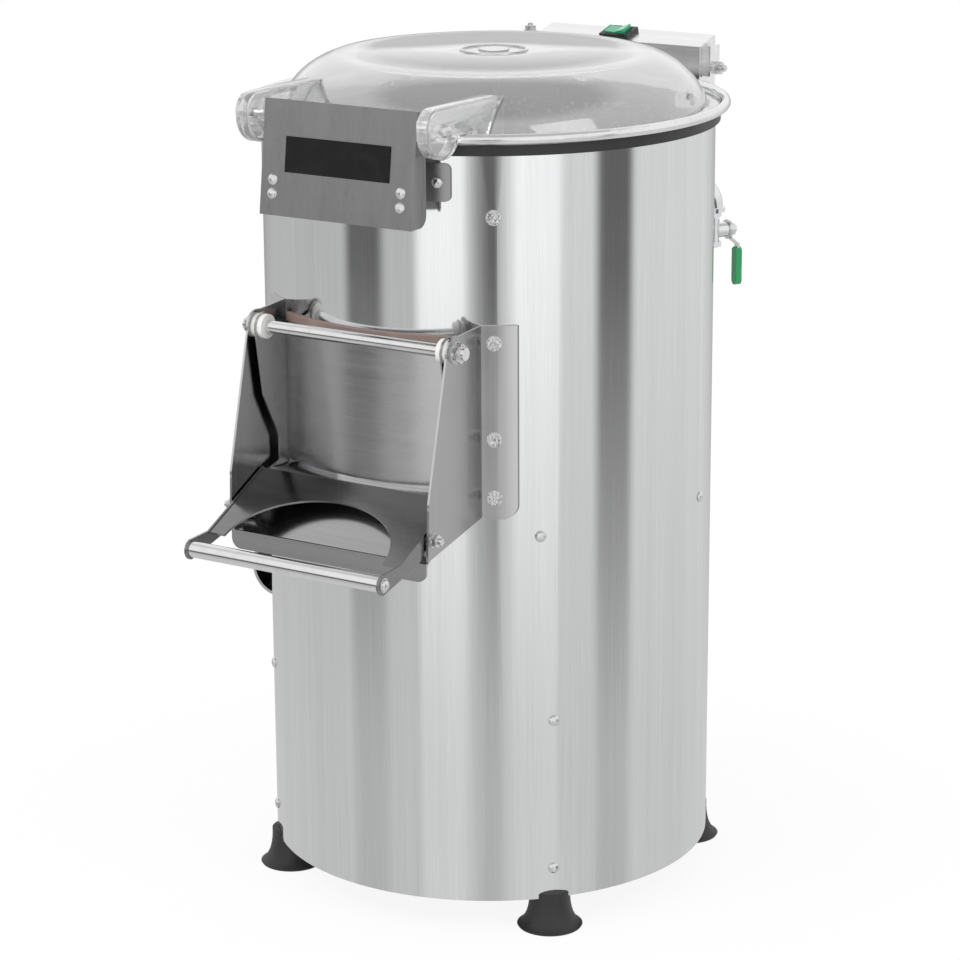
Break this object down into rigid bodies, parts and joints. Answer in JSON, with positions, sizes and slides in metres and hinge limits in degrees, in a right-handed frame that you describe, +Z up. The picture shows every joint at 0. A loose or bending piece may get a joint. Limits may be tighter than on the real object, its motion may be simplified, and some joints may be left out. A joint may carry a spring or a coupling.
{
  "type": "electric potato peeler",
  "caption": "Upright electric potato peeler: stainless drum on rubber feet, clear hinged lid, front outlet chute with latched door, water valve, drain and switch box.",
  "frame": {"origin": "on the floor, in the middle of the box round the machine; the axis of the drum is at x 23.25 mm, y 34.25 mm", "axes": "+Z up along the drum's axis, -Y towards the outlet chute, +X to the right seen from the front"},
  "size_m": [0.4724, 0.5854, 0.749],
  "materials": {
    "brushed_steel": "vertically brushed stainless sheet",
    "polished_steel": "polished stainless",
    "machined_steel": "turned steel",
    "zinc_steel": "bright zinc-plated fasteners",
    "chrome": "chrome plated",
    "cast_iron": "painted casting",
    "motor_paint": "satin paint",
    "brass": "machined brass",
    "black_rubber": "moulded rubber",
    "silicone": "soft silicone trim",
    "clear_plastic": "clear moulded lid",
    "white_plastic": "nylon",
    "black_plastic": "fine satin",
    "green_plastic": "translucent green",
    "green_vinyl": "dipped vinyl sleeve",
    "black_label": "bare black plate",
    "abrasive": "dark abrasive grit"
  },
  "bodies": {
    "root": {"body_shell": "brushed_steel", "rim_ring": "polished_steel", "rim_seal": "black_rubber", "abrasive_lining": "abrasive", "drum_floor": "brushed_steel", "bearing_housing": "cast_iron", "shaft_bearings": "machined_steel", "shaft_seal": "black_rubber", "drive_belt": "black_rubber", "drive_motor": "motor_paint", "motor_capacitor": "white_plastic", "motor_plate": "brushed_steel", "leg_brackets": "brushed_steel", "rubber_feet": "black_rubber", "foot_bolts": "zinc_steel", "foot_nuts": "zinc_steel", "body_screws": "zinc_steel", "chute_side_left": "brushed_steel", "chute_side_right": "brushed_steel", "chute_tray": "brushed_steel", "chute_bolts": "zinc_steel", "outlet_seal": "silicone", "door_rod": "machined_steel", "rod_nuts": "zinc_steel", "latch_pins": "zinc_steel", "hinge_bracket": "brushed_steel", "name_plate": "black_label", "bracket_screws": "zinc_steel", "lid_hinge_bolts": "zinc_steel", "lid_hinge_spacers": "zinc_steel", "control_box": "brushed_steel", "box_back_cover": "brushed_steel", "box_bracket": "brushed_steel", "box_side_tabs": "brushed_steel", "box_screws": "zinc_steel", "rocker_bezel": "black_plastic", "cable_gland": "black_plastic", "drain_elbow": "polished_steel", "drain_seal": "black_rubber", "water_elbow": "chrome", "ball_valve": "chrome", "valve_nut": "zinc_steel", "brass_inlet": "brass"},
    "lid": {"lid": "clear_plastic"},
    "door": {"outlet_door": "brushed_steel", "door_bushes": "white_plastic", "lever_pivots": "zinc_steel"},
    "latch": {"latch_lever": "brushed_steel", "lever_tube": "polished_steel", "tube_end_screws": "zinc_steel"},
    "rocker": {"rocker_button": "green_plastic"},
    "valve_handle": {"valve_lever": "zinc_steel", "valve_sleeve": "green_vinyl"},
    "spinner": {"abrasive_disc": "abrasive", "disc_nut": "polished_steel", "drive_shaft": "machined_steel", "driven_pulley": "cast_iron"},
    "rotor": {"motor_pulley": "cast_iron", "motor_shaft": "machined_steel"}
  },
  "joints": [
    {"name": "lid_hinge", "type": "hinge", "parent": "root", "child": "lid", "pos_m": [0.02325, -0.18375, 0.7165], "axis": [1, 0, 0], "range_deg": [0, 95]},
    {"name": "door_hinge", "type": "hinge", "parent": "root", "child": "door", "pos_m": [0.02325, -0.17925, 0.532], "axis": [-1, 0, 0], "range_deg": [0, 60]},
    {"name": "latch_hinge", "type": "hinge", "parent": "door", "child": "latch", "pos_m": [0.02325, -0.16775, 0.398], "axis": [-1, 0, 0], "range_deg": [0, 40]},
    {"name": "rocker_tilt", "type": "hinge", "parent": "root", "child": "rocker", "pos_m": [0.01725, 0.27475, 0.73411], "axis": [0, 0.9659, 0.2588], "range_deg": [0, 16]},
    {"name": "valve_turn", "type": "hinge", "parent": "root", "child": "valve_handle", "pos_m": [0.15746, 0.23322, 0.569], "axis": [0.5592, 0.829, 0], "range_deg": [0, 90]},
    {"name": "disc_spin", "type": "hinge", "parent": "root", "child": "spinner", "pos_m": [0.02325, 0.03425, 0.384], "axis": [0, 0, 1], "continuous": true},
    {"name": "motor_spin", "type": "hinge", "parent": "root", "child": "rotor", "pos_m": [0.0852, 0.12272, 0.17], "axis": [0, 0, 1], "continuous": true}
  ],
  "couplings": [
    {"joint": "motor_spin", "follows": "disc_spin", "ratio": 3.98}
  ]
}
